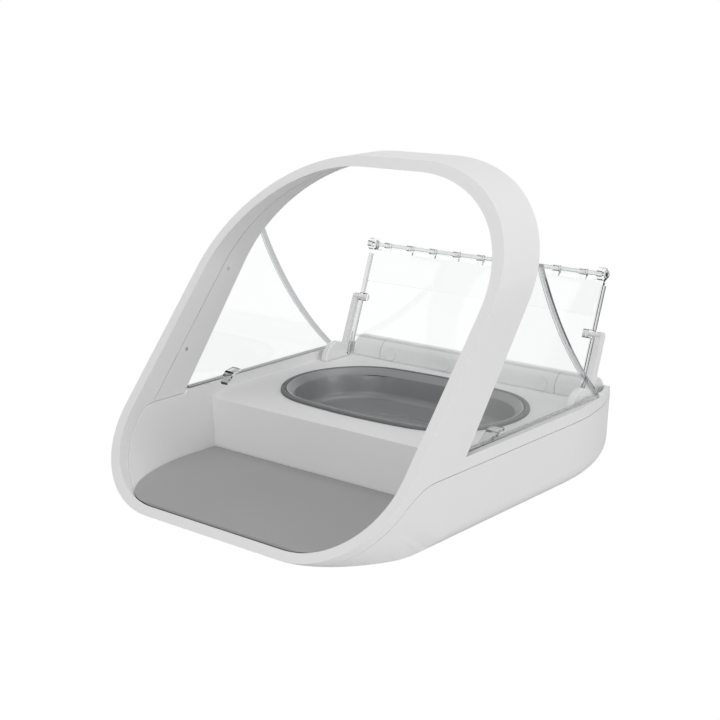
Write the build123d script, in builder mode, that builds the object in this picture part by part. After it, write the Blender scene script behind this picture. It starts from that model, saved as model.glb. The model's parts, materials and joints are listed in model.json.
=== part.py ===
"""Microchip pet feeder: an arch-shaped reader ring over a mat and bowl, with a clear folding lid.

Millimetres. X to the right, Y to the back, Z up; the floor is z = 0 and the origin is the middle
of the footprint.  The lid is drawn open, as it stands when a pet is feeding.
"""
from build123d import *
from math import sin, cos, tan, atan2, degrees, radians, hypot
import os

os.makedirs("parts", exist_ok=True)

# ---------------------------------------------------------------- driving dimensions
WIDTH = 230.0
DEPTH = 318.0
HEIGHT = 193.5
HALF = WIDTH / 2
FRONT_Y = -DEPTH / 2
BACK_Y = DEPTH / 2
FAR = 400.0               # reach of the cutting blocks, past the whole feeder
UNDER = -2.0              # foot of the cutting blocks, below the floor

WALL = 2.4                # base and deck walls
FLOOR = 2.4               # floor plate
SEAM = 0.1                # gap between pieces seated on each other
GROOVE = 0.35             # open line at the seams that show

# arch
ARCH_LEAN = 40.4          # degrees from vertical
ARCH_SIDE = 7.0           # width of the front face at the sides
ARCH_FOOT = 6.0           # width of the front face at the foot
ARCH_CROWN = 8.0          # width of the front face at the crown
ARCH_FOOT_R = 62.0
ARCH_CROWN_R = 92.0
ARCH_SKIN = 2.2           # shell thickness of the arch
ARCH_JOIN_Z = 75.0        # below this the band runs square to the face, above it runs level
REAR_LEAN = 37.5          # lean of the rear edge of the band
REAR_Y, REAR_Z = FRONT_Y + 97.3, 65.5
FLANGE = 2.5              # closing flange at the rear edge
INNER_SEAM_DEPTH = 13.0   # front shell to lining, square to the face
FOOT_TRIM = 6.5           # depth of the foot trim, square to the face
CHEEK_SEAM_DEPTH = 8.4
CHEEK_DRAFT = 3.5
LINING_SCREW_R = 1.2
LINING_SCREW_DEPTH = 18.2   # lining screws behind the face
LINING_SCREW_DROP = 4.1     # upper ones below the start of the crown's curve
COIL_THICK = 1.4
COIL_GAP = 0.5
COIL_FRONT, COIL_BACK = 9.0, 17.0   # the coil lies this far behind the face

# base and deck
DECK_Z = 42.0
RIM_Z = DECK_Z + 6.2
RIM_WIDTH = 8.0
PARTING_Z = RIM_Z - 7.5
PARTING_R = 30.0
CHEEK_Z = RIM_Z - 2.5
BASE_DRAFT = 3.0
BASE_FILLET = 12.0
FLANK_SET = 25.0          # centre of each flank curve past the centre line
FLANK_TURN = 35.05        # degrees that each flank curve turns
STEP_Y = BACK_Y - 215.2
STEP_Z = DECK_Z - 3.1
BEVEL_Y = STEP_Y + 13.7
APRON_Y = BACK_Y - 69.0   # the top slopes down behind this line
APRON_BACK_Z = RIM_Z - 21.2
POCKET_BACK_Y = APRON_Y + 11.0
TAIL_CLEAR, TAIL_AHEAD = 2.1, 14.5   # the rims thin down beside the lid arms
CUT_Z = DECK_Z - 12.0     # foot of the slots through the deck
FOOT_R = 8.0
FOOT_RECESS = 1.2
POST_R = 4.0
POST_WALL = 1.2
POST_FOOT_Z = 6.0
SCREW_R = 1.15
SCREW_LENGTH = 19.0
SCREW_HEAD_R = 2.9
SCREW_PASS = 0.55         # clearance round a screw that passes through
SCREW_FOOT_Z = 1.0
SCREW_HEAD = 2.0
SCREW_SEAT_Z = SCREW_FOOT_Z + SCREW_HEAD
HEAD_GAP = 0.2
SLOT_HALF = 0.35          # half width of a cross slot
SLOT_REACH = 1.9
RIB = 2.0

# rear buttons and board
BUTTON_X = (-24.0, 0.0, 24.0)
BUTTON_Y = BACK_Y - 22.0
BUTTON_R = 5.0
BUTTON_GAP = 0.4
LENS_Y = BACK_Y - 38.0
LENS_R = 1.75
BOARD_Y = BACK_Y - 27.5
BOARD_LENGTH, BOARD_WIDTH = 76.0, 29.0
BOARD_TOP = 9.0           # depth of the board below the apron
BOARD_THICK = 1.6
BOARD_BOSS_R = 2.0
BOARD_BOSS_X = BOARD_LENGTH / 2 - 4.0
BOARD_BOSS_Y = (BOARD_Y - 10.0, BOARD_Y + 10.0)
BOSS_SINK = 1.0           # how far bosses and posts run into the top wall
SWITCH_HEIGHT = 2.2
SWITCH_STEM = 0.3
# chips on the board: x, y, length, width, height
CHIPS = ((-12.0, BOARD_Y - 7.5, 10.0, 10.0, 1.2), (14.0, BOARD_Y - 7.5, 7.0, 5.0, 1.0))
BUZZER_X, BUZZER_Y = 26.0, BOARD_Y - 5.5
BUZZER_R, BUZZER_HEIGHT = 3.0, 3.2

# mat and bowl
MAT_BOTTOM = FLOOR + SEAM
MAT_THICK = 3.7
MAT_CLEAR = 0.6
MAT_FRONT = 5.0           # mat's front edge behind the foot of the face
BOWL_HALF = HALF - 28.0
BOWL_DEPTH = 102.6
BOWL_BULGE = 2.3          # the ends are drawn with a radius this much under half the depth
BOWL_FRONT_Y = BEVEL_Y + 0.7
BOWL_MIDDLE = BOWL_FRONT_Y + BOWL_DEPTH / 2
LEDGE_Z = DECK_Z - 4.0
LEDGE_WIDTH = 7.0
LEDGE_RING = 2.2          # the ledge's ring beyond the opening
SEAL_WIDTH = 3.4
SEAL_PROUD = 1.5
SEAL_BED = 2.0            # seal under the bowl's flange
BOWL_TOP_Z = DECK_Z + 1.4
BOWL_FLOOR_Z = 22.5
BOWL_WALL = 2.0
BOWL_DRAFT = 9.0
BOWL_LIP = 1.3            # flat top of the flange
BOWL_FUNNEL = 50.0        # degrees of the flange's inner slope
BOWL_FUNNEL_DEPTH = 3.5
BOWL_ROUND = 5.0
FLOOR_RING = (34.0, 17.0)   # half axes of the oval ring in the bowl's floor
FLOOR_RING_WIDTH = 4.0
FLOOR_RING_PROUD = 0.7

# lid mechanism
BARREL_Y = BACK_Y - 74.5
BARREL_Z = DECK_Z + 2.3
HUB_Y = BARREL_Y - 26.0
HUB_Z = DECK_Z - 0.5
HUB_R = 12.5
HUB_ROUND = 0.8
ARM_THICK = 5.0
ARM_CLEAR = 2.0           # panel to arm
RIM_CLEAR = 4.5           # arm to rim
HUB_OUT = HALF - RIM_WIDTH - RIM_CLEAR
HUB_IN = HUB_OUT - ARM_THICK
HUB_GAP = 0.7             # slot round a hub
AXLE_R = 2.2
AXLE_GAP = 0.1
AXLE_END = HALF - RIM_WIDTH + 2.0
BEARING_R = 5.2
LID_LEAN = 21.4
LID_CLOSING = 90.0 + LID_LEAN   # degrees from open to closed
ARM_PERP = 7.9            # arm centreline behind the hub
ARM_LENGTH = 46.65
ARM_WIDTH = 5.0
ARM_ROOT_R = 3.2
KNOB_SET = 1.2            # knob pin in front of the arm's centreline
PIN_COVER = 1.6           # the arm closes the pin's hole on the outside
PANEL_HALF = HUB_IN - ARM_CLEAR
PANEL_THICK = 2.0
PANEL_PERP = 6.0
PANEL_START, PANEL_END = 4.7, 80.0
PANEL_CORNER = 2.0
EDGE_WIDTH, EDGE_PROUD = 1.6, 2.4   # flange along each side of the rear panel
RIB_AT = 19.5
RIB_HALF = 0.8
RIB_PROUD = 1.1
ROD_ALONG, ROD_PERP = 84.7, 5.0
ROD_R = 1.3
ROD_GAP = 0.3
KNUCKLE_R = 2.1
KNUCKLE_LENGTH = 4.6
KNUCKLE_GAP = 0.5
END_KNUCKLE_R = 4.1
END_KNUCKLE_LENGTH = 4.0
FLAP_START = 4.6
FLAP_LENGTH = 27.0
FLAP_LEAN = 27.0
FLAP_OFFSET = 1.6
PIN_R = 1.6
PIN_GAP = 0.15

# drive
BARREL_R = 10.5
BARREL_BORE_R = 8.1
BARREL_END = HUB_IN - 0.9
BARREL_CAP_WALL = 0.8
CRANK_COVER_R = 9.2       # room for the crank under the barrel's end
CRANK_OUT = BARREL_END - 1.0
CRANK_IN = CRANK_OUT - 2.4
LINK_OUT = CRANK_IN - 0.4
LINK_IN = LINK_OUT - 2.6
BARREL_TUBE_END = LINK_IN - 1.0
BARREL_SPLIT = BARREL_TUBE_END - 17.7
SPLIT_GAP = 0.5
BARREL_ROUND = 1.5
CRANK_SLOT = 10.2         # half length of the slot under each barrel end
CRANK_R = 9.0             # throw of the two matching cranks
CRANK_PIN_R = 1.2
CRANK_PIN_GAP = 0.3
CRANK_HUB_R, CRANK_TIP_R = 3.6, 2.4
LINK_R, LINK_EYE_R = 1.8, 2.4
LINK_RELIEF = 1.1         # skin left over the link under the deck
SHAFT_R = 2.5
SHAFT_GAP = 0.3
MOTOR_X0 = -40.0
MOTOR_LENGTH, GEARBOX_LENGTH = 34.0, 58.0
MOTOR_R, GEARBOX_R = 6.6, 7.3
MOTOR_TAIL, MOTOR_TAIL_R = 3.0, 3.0
CAP_X = (9.5 - BARREL_SPLIT, -15.5, 15.5, BARREL_SPLIT - 9.5)
CAP_R = 4.3
CAP_TILT = 15.0
CAP_THICK = 1.4
CAP_SINK = 0.6

# clear side wings
WING_X = HALF - 6.0
WING_THICK = 2.0
WING_TOP_Z = HEIGHT - 52.0
WING_FOOT_Y = HUB_Y + 9.2
WING_SAG = 6.3            # how far the rear edge bows towards the arch
WING_REACH = 4.9          # the top corner behind the arch band
WING_BEAD = 3.4
BEAD_PROUD = 0.6
WING_FOOT = 1.4
CLIP_IN = HALF - 14.0
CLIP_DROP = 1.7           # height of the clip's bent strip
CLIP_LINE = (             # (y, z) along the top of the strip
    (STEP_Y + 10.7, RIM_Z - 1.4), (STEP_Y + 17.3, RIM_Z + 4.2), (STEP_Y + 23.8, RIM_Z + 5.3),
)

# power
CELL_R = 13.1
CELL_GAP = 0.1
CELL_LENGTH = 49.0
CELL_ROWS = (APRON_Y - 10.0, APRON_Y + 17.0)
CELL_Z = FLOOR + CELL_R + 0.9
CELL_X0 = 3.0
CELL_X1 = CELL_X0 + CELL_LENGTH
NUB_R, NUB_LENGTH = 3.2, 0.8
SPRING_WIRE = 0.45
SPRING_PITCH = 1.0
SPRING_R = (3.0, 4.2, 5.4)
CONTACT_THICK = 0.6
CONTACT_Z0, CONTACT_Z1 = 9.0, 22.0
CONTACT_HALF = 6.0
DOOR_X0, DOOR_X1 = CELL_X0 - 1.5, CELL_X1 + 3.5
DOOR_Y0, DOOR_Y1 = CELL_ROWS[0] - 15.0, CELL_ROWS[1] + 15.0
DOOR_SCREW_R = 1.3
DOOR_SCREW_TOP = 7.0
DOOR_SCREW_FOOT, DOOR_HEAD = 0.3, 1.0
DOOR_SEAT_Z = DOOR_SCREW_FOOT + DOOR_HEAD
SCREW_X = (DOOR_X0 + DOOR_X1) / 2
CRADLE_X = DOOR_X1 + 1.5
CRADLE_TOP, LOW_RIB_TOP, SCREW_RIB_TOP = 22.0, 8.0, 9.0
SCREW_RIB_HALF = 1.5
MID_ROW_Y = (CELL_ROWS[0] + CELL_ROWS[1]) / 2

# feet and screw posts, placed by what stands beside them
FRONT_FOOT = (HALF - 27.0, STEP_Y - 1.8)
REAR_FOOT = (CRADLE_X + 18.0, APRON_Y + 2.0)
FEET = tuple((side * x, y) for x, y in (FRONT_FOOT, REAR_FOOT) for side in (-1, 1))
FRONT_POST = (HALF - 16.0, STEP_Y + 36.2)
MIDDLE_POST = (HALF - 16.0, HUB_Y - 30.5)
REAR_POST = (CRADLE_X + 11.0, APRON_Y + 18.0)
POSTS = tuple((side * x, y) for x, y in (FRONT_POST, MIDDLE_POST, REAR_POST) for side in (-1, 1))

# ---------------------------------------------------------------- arch directions
LEAN_S = sin(radians(ARCH_LEAN))
LEAN_C = cos(radians(ARCH_LEAN))
ARCH_SLOPE = HEIGHT / LEAN_C
FACE = Plane(origin=(0, FRONT_Y, 0), x_dir=(1, 0, 0), z_dir=(0, -LEAN_C, LEAN_S))


def face_y(z, depth=0.0):
    """Y of the plane lying `depth` behind the arch face, at height z."""
    return FRONT_Y + depth / LEAN_C + z * LEAN_S / LEAN_C


def rear_y(z):
    """Y of the rear edge of the arch band at height z."""
    return REAR_Y + (z - REAR_Z) * tan(radians(REAR_LEAN))


def apron_z(y, drop=0.0):
    """Height of the rear apron (or of a surface `drop` below it, square to it)."""
    fall = (RIM_Z - APRON_BACK_Z) / (BACK_Y - APRON_Y)
    return RIM_Z - (y - APRON_Y) * fall - drop * hypot(1, fall)


APRON_TILT = degrees(atan2(RIM_Z - APRON_BACK_Z, BACK_Y - APRON_Y))


def on_apron(x, y, depth=0.0):
    """A location on the apron, Z square to it, `depth` below the surface."""
    return Location((x, y, apron_z(y)), (-APRON_TILT, 0, 0)) * Location((0, 0, -depth))


# ---------------------------------------------------------------- shape helpers
PAST = 20.0               # how far cutting prisms run past the sides


def side_prism(points, round_at=None, radius=0.0, half=HALF + PAST):
    """A prism across the whole width from a side-view outline of (y, z) points."""
    with BuildPart() as prism:
        with BuildSketch(Plane.YZ) as outline:
            with BuildLine():
                Polyline(*points, close=True)
            make_face()
            if round_at is not None:
                corner = outline.vertices().sort_by_distance(Vector(round_at[0], round_at[1], 0))[0]
                fillet(corner, radius)
        extrude(amount=half, both=True)
    return prism.part


def slab(y0, y1, z0, z1, x0=-HALF - PAST, x1=HALF + PAST):
    """An axis-aligned block."""
    with BuildPart() as block:
        with Locations(((x0 + x1) / 2, (y0 + y1) / 2, (z0 + z1) / 2)):
            Box(x1 - x0, y1 - y0, z1 - z0)
    return block.part


def channel(side, foot, taper=0.0, length=1.2 * FAR):
    """The open-topped lower arch outline, run square to the face."""
    with BuildPart() as run:
        with BuildSketch(FACE) as outline:
            with BuildLine():
                Polyline(
                    (-HALF + side, foot), (HALF - side, foot), (HALF - side, FAR), (-HALF + side, FAR),
                    close=True,
                )
            make_face()
            fillet(outline.vertices().sort_by(Axis.Y)[:2], ARCH_FOOT_R - side)
        extrude(amount=-length, taper=taper)
    return run.part


def crown(side, top):
    """The closed upper arch outline, run level towards the back."""
    with BuildPart() as run:
        with BuildSketch(FACE) as outline:
            with BuildLine():
                Polyline(
                    (-HALF + side, 0), (HALF - side, 0), (HALF - side, ARCH_SLOPE - top),
                    (-HALF + side, ARCH_SLOPE - top), close=True,
                )
            make_face()
            fillet(outline.vertices().sort_by(Axis.Y)[-2:], ARCH_CROWN_R - side)
        extrude(amount=FAR / 2, dir=(0, 1, 0))
    return run.part


LOW = slab(-FAR, FAR, 0, ARCH_JOIN_Z)
HIGH = slab(-FAR, FAR, ARCH_JOIN_Z, FAR)


def inside_arch(side, foot, top):
    """Everything inside the arch outline drawn in by side, foot and top."""
    return (channel(side, foot) & LOW) + (crown(side, top) & HIGH)


def skin(depth, thick):
    """A skin of the arch from `depth` inside its outline, `thick` thick."""
    outer = inside_arch(depth, depth, depth)
    inner = inside_arch(depth + thick, depth + thick, depth + thick)
    return outer - inner


BASE_AHEAD = 60.0         # the outline starts this far in front of the arch, and is cut back to it


def plan_outline(inset, z0, z1, taper=0.0, round_bottom=0.0):
    """The footprint (straight sides, three-centred back) drawn in by inset, from z1 down to z0."""
    side_x = HALF - inset
    turn = radians(FLANK_TURN)
    flank_r = HALF + FLANK_SET
    straight_y = BACK_Y - flank_r + FLANK_SET * tan(radians(45) - turn / 2)
    back_y = straight_y + FLANK_SET * tan(turn)
    back_r = flank_r - FLANK_SET / cos(turn)
    reach = flank_r - inset
    join = (reach * cos(turn) - FLANK_SET, straight_y + reach * sin(turn))
    mid = (reach * cos(turn / 2) - FLANK_SET, straight_y + reach * sin(turn / 2))
    tip = (0, back_y + back_r - inset)
    ahead = FRONT_Y - BASE_AHEAD
    with BuildPart() as solid:
        with BuildSketch(Plane.XY.offset(z1)):
            with BuildLine():
                Line((-side_x, ahead), (side_x, ahead))
                Line((side_x, ahead), (side_x, straight_y))
                ThreePointArc((side_x, straight_y), mid, join)
                ThreePointArc(join, tip, (-join[0], join[1]))
                ThreePointArc((-join[0], join[1]), (-mid[0], mid[1]), (-side_x, straight_y))
                Line((-side_x, straight_y), (-side_x, ahead))
            make_face()
        extrude(amount=-(z1 - z0), taper=taper)
        if round_bottom > 0:
            loop = solid.edges().filter_by_position(Axis.Z, z0 - 0.01, z0 + 0.01).sort_by(Axis.Y)[1:]
            fillet(loop, round_bottom)
    return solid.part


def rod(radius, x0, x1, y, z):
    """A round bar along X, from either end to the other."""
    low, high = sorted((x0, x1))
    with BuildPart() as bar:
        with BuildSketch(Plane(origin=(low, y, z), x_dir=(0, 1, 0), z_dir=(1, 0, 0))):
            Circle(radius)
        extrude(amount=high - low)
    return bar.part


def cross_slot(x, y, depth):
    """The two cuts of a cross slot in a screw head at the underside."""
    across = slab(y - SLOT_REACH, y + SLOT_REACH, 0, depth, x - SLOT_HALF, x + SLOT_HALF)
    along = slab(y - SLOT_HALF, y + SLOT_HALF, 0, depth, x - SLOT_REACH, x + SLOT_REACH)
    return across + along


def bolt(radius, x, y, z0, z1, head_r=0.0, head=0.0):
    """A round bar along Z with an optional head at its lower end."""
    with BuildPart() as bar:
        with BuildSketch(Plane(origin=(x, y, z0))):
            Circle(radius)
        extrude(amount=z1 - z0)
        if head > 0:
            with BuildSketch(Plane(origin=(x, y, z0))):
                Circle(head_r)
            extrude(amount=head)
    return bar.part


def strap(x0, x1, a, b, r_a, r_b):
    """A flat tapered strap between two (y, z) points, from x0 to x1."""
    base = Plane(origin=(x0, 0, 0), x_dir=(0, 1, 0), z_dir=(1, 0, 0))
    with BuildPart() as bar:
        with BuildSketch(base):
            with Locations(a):
                Circle(r_a)
            with Locations(b):
                Circle(r_b)
            make_hull()
        extrude(amount=x1 - x0)
    return bar.part


def save(shape, label):
    """Name a piece and write it."""
    shape.label = label
    export_step(shape, "parts/" + label + ".step")


# ---------------------------------------------------------------- dividing surfaces
TOP = HEIGHT + 10.0       # top of the cutting blocks
BEYOND = BACK_Y + PAST    # and their back

parting_corner = (face_y(PARTING_Z, FOOT_TRIM), PARTING_Z)
below_parting = side_prism(
    [
        (face_y(UNDER, FOOT_TRIM), UNDER), parting_corner, (APRON_Y, PARTING_Z),
        (BEYOND, apron_z(BEYOND) - (RIM_Z - PARTING_Z)), (BEYOND, UNDER),
    ],
    round_at=parting_corner, radius=PARTING_R,
)
below_groove = below_parting.moved(Location((0, 0, GROOVE)))
cheek_corner = (face_y(CHEEK_Z, CHEEK_SEAM_DEPTH), CHEEK_Z)
below_cheek_seam = side_prism(
    [
        (face_y(UNDER, CHEEK_SEAM_DEPTH), UNDER), cheek_corner, (rear_y(CHEEK_Z), CHEEK_Z),
        (rear_y(RIM_Z), RIM_Z), (APRON_Y, RIM_Z), (BEYOND, apron_z(BEYOND)), (BEYOND, UNDER),
    ],
    round_at=cheek_corner, radius=PARTING_R / 2,
)
below_cheek_groove = below_cheek_seam.moved(Location((0, 0, GROOVE)))
before_rear_edge = side_prism([(-FAR, UNDER), (rear_y(UNDER), UNDER), (rear_y(TOP), TOP), (-FAR, TOP)])
before_inner_seam = side_prism(
    [
        (-FAR, UNDER), (face_y(UNDER, INNER_SEAM_DEPTH), UNDER),
        (face_y(TOP, INNER_SEAM_DEPTH), TOP), (-FAR, TOP),
    ]
)
behind_inner_seam = side_prism(
    [
        (face_y(UNDER, INNER_SEAM_DEPTH + GROOVE), UNDER), (FAR, UNDER), (FAR, TOP),
        (face_y(TOP, INNER_SEAM_DEPTH + GROOVE), TOP),
    ]
)
before_face_back = side_prism(
    [(-FAR, UNDER), (face_y(UNDER, ARCH_SKIN), UNDER), (face_y(TOP, ARCH_SKIN), TOP), (-FAR, TOP)]
)
trim_back = FOOT_TRIM - GROOVE
before_foot_trim = side_prism(
    [(-FAR, UNDER), (face_y(UNDER, trim_back), UNDER), (face_y(TOP, trim_back), TOP), (-FAR, TOP)]
)

# ---------------------------------------------------------------- arch: front shell
outline_outer = inside_arch(0, 0, 0)
outline_inner = inside_arch(ARCH_SIDE, ARCH_FOOT, ARCH_CROWN)
outline_lining = inside_arch(ARCH_SIDE - ARCH_SKIN, ARCH_FOOT - ARCH_SKIN, ARCH_CROWN - ARCH_SKIN)
lining_solid = outline_lining - outline_inner
outer_skin = outline_outer - inside_arch(ARCH_SKIN, ARCH_SKIN, ARCH_SKIN)
foot_lining = below_parting & slab(-FAR, FAR, UNDER, FLOOR + SEAM)

with BuildPart() as arch_front_shell:
    add(outer_skin)
    add(below_groove, mode=Mode.SUBTRACT)
    add(before_rear_edge, mode=Mode.INTERSECT)
    add((lining_solid & before_inner_seam) - below_cheek_groove - foot_lining)
    add((outline_outer - outline_inner) & before_face_back)
    add(outline_outer & slab(-FAR, FAR, 0, FLOOR) & before_foot_trim)
save(arch_front_shell.part, "arch_front_shell")

# ---------------------------------------------------------------- arch: rear cover
LINING_X = HALF - ARCH_SIDE
crown_start_z = HEIGHT - ARCH_CROWN_R * LEAN_C
LINING_SCREW_Z = (crown_start_z - LINING_SCREW_DROP, ARCH_JOIN_Z - 1.3)
LINING_SCREWS = tuple((face_y(z, LINING_SCREW_DEPTH), z) for z in LINING_SCREW_Z)
flange_foot = RIM_Z + GROOVE
flange_front = side_prism(
    [
        (rear_y(flange_foot) - FLANGE, flange_foot), (rear_y(flange_foot), flange_foot),
        (rear_y(TOP), TOP), (rear_y(TOP) - FLANGE, TOP),
    ]
)
with BuildPart() as arch_rear_cover:
    add(lining_solid & behind_inner_seam)
    add(before_rear_edge, mode=Mode.INTERSECT)
    add(below_cheek_groove, mode=Mode.SUBTRACT)
    add(skin(ARCH_SKIN + SEAM, ARCH_SIDE - 2 * ARCH_SKIN + SEAM) & flange_front)
    for y, z in LINING_SCREWS:
        for side in (-1, 1):
            add(rod(LINING_SCREW_R + SEAM, side * (LINING_X - 1), side * (LINING_X + ARCH_SKIN + 1), y, z),
                mode=Mode.SUBTRACT)
save(arch_rear_cover.part, "arch_rear_cover")

# ---------------------------------------------------------------- arch: small screws in the lining
with BuildPart() as arch_screws:
    for y, z in LINING_SCREWS:
        for side in (-1, 1):
            add(rod(LINING_SCREW_R, side * (LINING_X + 0.5), side * (LINING_X + ARCH_SKIN + 0.4), y, z))
save(arch_screws.part, "arch_screws")

# ---------------------------------------------------------------- arch: reader coil
coil_foot = RIM_Z + 4.0
with BuildPart() as reader_coil:
    add(skin(ARCH_SKIN + COIL_GAP, COIL_THICK))
    add(
        side_prism(
            [
                (face_y(coil_foot, COIL_FRONT), coil_foot), (face_y(coil_foot, COIL_BACK), coil_foot),
                (face_y(TOP, COIL_BACK), TOP), (face_y(TOP, COIL_FRONT), TOP),
            ]
        ),
        mode=Mode.INTERSECT,
    )
save(reader_coil.part, "reader_coil")

# ---------------------------------------------------------------- base shell
RIB_SINK = 0.4            # how far ribs and posts run into the floor plate
with BuildPart() as base_shell:
    add(plan_outline(0, 0, PARTING_Z, BASE_DRAFT, BASE_FILLET))
    add(below_parting, mode=Mode.INTERSECT)
    add(channel(0, 0), mode=Mode.INTERSECT)
    cavity = plan_outline(WALL, FLOOR, PARTING_Z, BASE_DRAFT, BASE_FILLET - WALL)
    add(cavity & channel(WALL, WALL), mode=Mode.SUBTRACT)
    for x, y in FEET:
        add(bolt(FOOT_R + SEAM, x, y, UNDER, FOOT_RECESS), mode=Mode.SUBTRACT)
    for side in (-1, 1):
        x0, x1 = sorted((side * DOOR_X0, side * DOOR_X1))
        add(slab(DOOR_Y0, DOOR_Y1, UNDER, FLOOR + 1, x0, x1), mode=Mode.SUBTRACT)
    for x, y in POSTS:
        add(bolt(POST_R + POST_WALL, x, y, FLOOR - RIB_SINK, POST_FOOT_Z))
        add(bolt(SCREW_HEAD_R + HEAD_GAP, x, y, UNDER, SCREW_SEAT_Z), mode=Mode.SUBTRACT)
        add(bolt(SCREW_R + SCREW_PASS, x, y, UNDER, POST_FOOT_Z + 1), mode=Mode.SUBTRACT)
    # ribs that hold the cells
    for x in (-CRADLE_X, 0, CRADLE_X):
        add(slab(DOOR_Y0 - 1, DOOR_Y1 + 1, FLOOR - RIB_SINK, CRADLE_TOP, x - RIB / 2, x + RIB / 2))
    for y in (DOOR_Y0 - RIB / 2, DOOR_Y1 + RIB / 2):
        add(slab(y - RIB / 2, y + RIB / 2, FLOOR - RIB_SINK, LOW_RIB_TOP, -CRADLE_X, CRADLE_X))
    rib_y0, rib_y1 = MID_ROW_Y - SCREW_RIB_HALF, MID_ROW_Y + SCREW_RIB_HALF
    add(slab(rib_y0, rib_y1, FLOOR + SEAM, SCREW_RIB_TOP, -CRADLE_X, CRADLE_X))
    for x in (-SCREW_X, SCREW_X):
        add(bolt(DOOR_SCREW_R + SEAM / 2, x, MID_ROW_Y, UNDER, SCREW_RIB_TOP - 1), mode=Mode.SUBTRACT)
save(base_shell.part, "base_shell")

# ---------------------------------------------------------------- feet
with BuildPart() as rubber_feet:
    for x, y in FEET:
        add(bolt(FOOT_R, x, y, 0, FOOT_RECESS))
save(rubber_feet.part, "rubber_feet")


# ---------------------------------------------------------------- deck housing
OVER = RIM_Z + 22.0       # top of the cutting prisms over the rims


def well(grow):
    """The feeding well between the cheeks, in front of the step."""
    run = channel(ARCH_SIDE - grow, ARCH_FOOT - grow, CHEEK_DRAFT, FAR / 2)
    return run & slab(-FAR, STEP_Y + grow, FLOOR + SEAM / 2, FAR)


def pocket(grow):
    """The recess between the rims, over the deck; the rims thin down beside the lid arms."""
    plan = plan_outline(RIM_WIDTH - grow, UNDER, OVER)
    tail_half = HUB_OUT + TAIL_CLEAR + grow
    tail = slab(HUB_Y - TAIL_AHEAD - grow, FAR, UNDER, OVER, -tail_half, tail_half)
    plan = plan + (plan_outline(WALL + 0.2, UNDER, OVER) & tail)
    run = side_prism(
        [
            (STEP_Y, STEP_Z - grow), (BEVEL_Y, DECK_Z - grow), (POCKET_BACK_Y + grow, DECK_Z - grow),
            (POCKET_BACK_Y + grow, OVER), (STEP_Y, OVER),
        ]
    )
    return plan & run


def bowl_plan(inset, z0, z1, taper=0.0, round_bottom=0.0):
    """The oval bowl outline (four tangent arcs) drawn in by inset, from z1 down to z0."""
    half = BOWL_DEPTH / 2
    end_r = half - BOWL_BULGE
    end_x = BOWL_HALF - end_r
    side_r = (half ** 2 + end_x ** 2 - end_r ** 2) / (2 * BOWL_BULGE)
    side_y = side_r - half
    turn = atan2(side_y, end_x)
    corner = (end_x + (end_r - inset) * cos(turn), (end_r - inset) * sin(turn))
    with BuildPart() as solid:
        with BuildSketch(Plane(origin=(0, BOWL_MIDDLE, z1))):
            with BuildLine():
                for mirror_x, mirror_y in ((1, 1), (-1, -1)):
                    near = (mirror_x * corner[0], -mirror_y * corner[1])
                    far = (mirror_x * corner[0], mirror_y * corner[1])
                    ThreePointArc(near, (mirror_x * (BOWL_HALF - inset), 0), far)
                    ThreePointArc(far, (0, mirror_y * (half - inset)), (-far[0], far[1]))
            make_face()
        extrude(amount=-(z1 - z0), taper=taper)
        if round_bottom > 0:
            fillet(solid.faces().sort_by(Axis.Z)[0].edges(), round_bottom)
    return solid.part


upper_block = side_prism(
    [
        (rear_y(PARTING_Z - 4), PARTING_Z - 4), (rear_y(RIM_Z), RIM_Z), (APRON_Y, RIM_Z),
        (BEYOND, apron_z(BEYOND)), (BEYOND, 0), (APRON_Y, 0),
    ]
)
upper_void = side_prism(
    [
        (-FAR, UNDER), (-FAR, RIM_Z - WALL), (APRON_Y, RIM_Z - WALL),
        (BEYOND, apron_z(BEYOND, WALL)), (BEYOND, UNDER),
    ]
)
wells = well(0) + pocket(0)
walls = (well(WALL) + pocket(WALL)) - wells
in_base = plan_outline(WALL + SEAM, PARTING_Z, OVER) + plan_outline(
    WALL + SEAM, FLOOR, PARTING_Z, BASE_DRAFT, BASE_FILLET - WALL
)
in_arch = channel(ARCH_SKIN + SEAM, ARCH_SKIN + SEAM)

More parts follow.
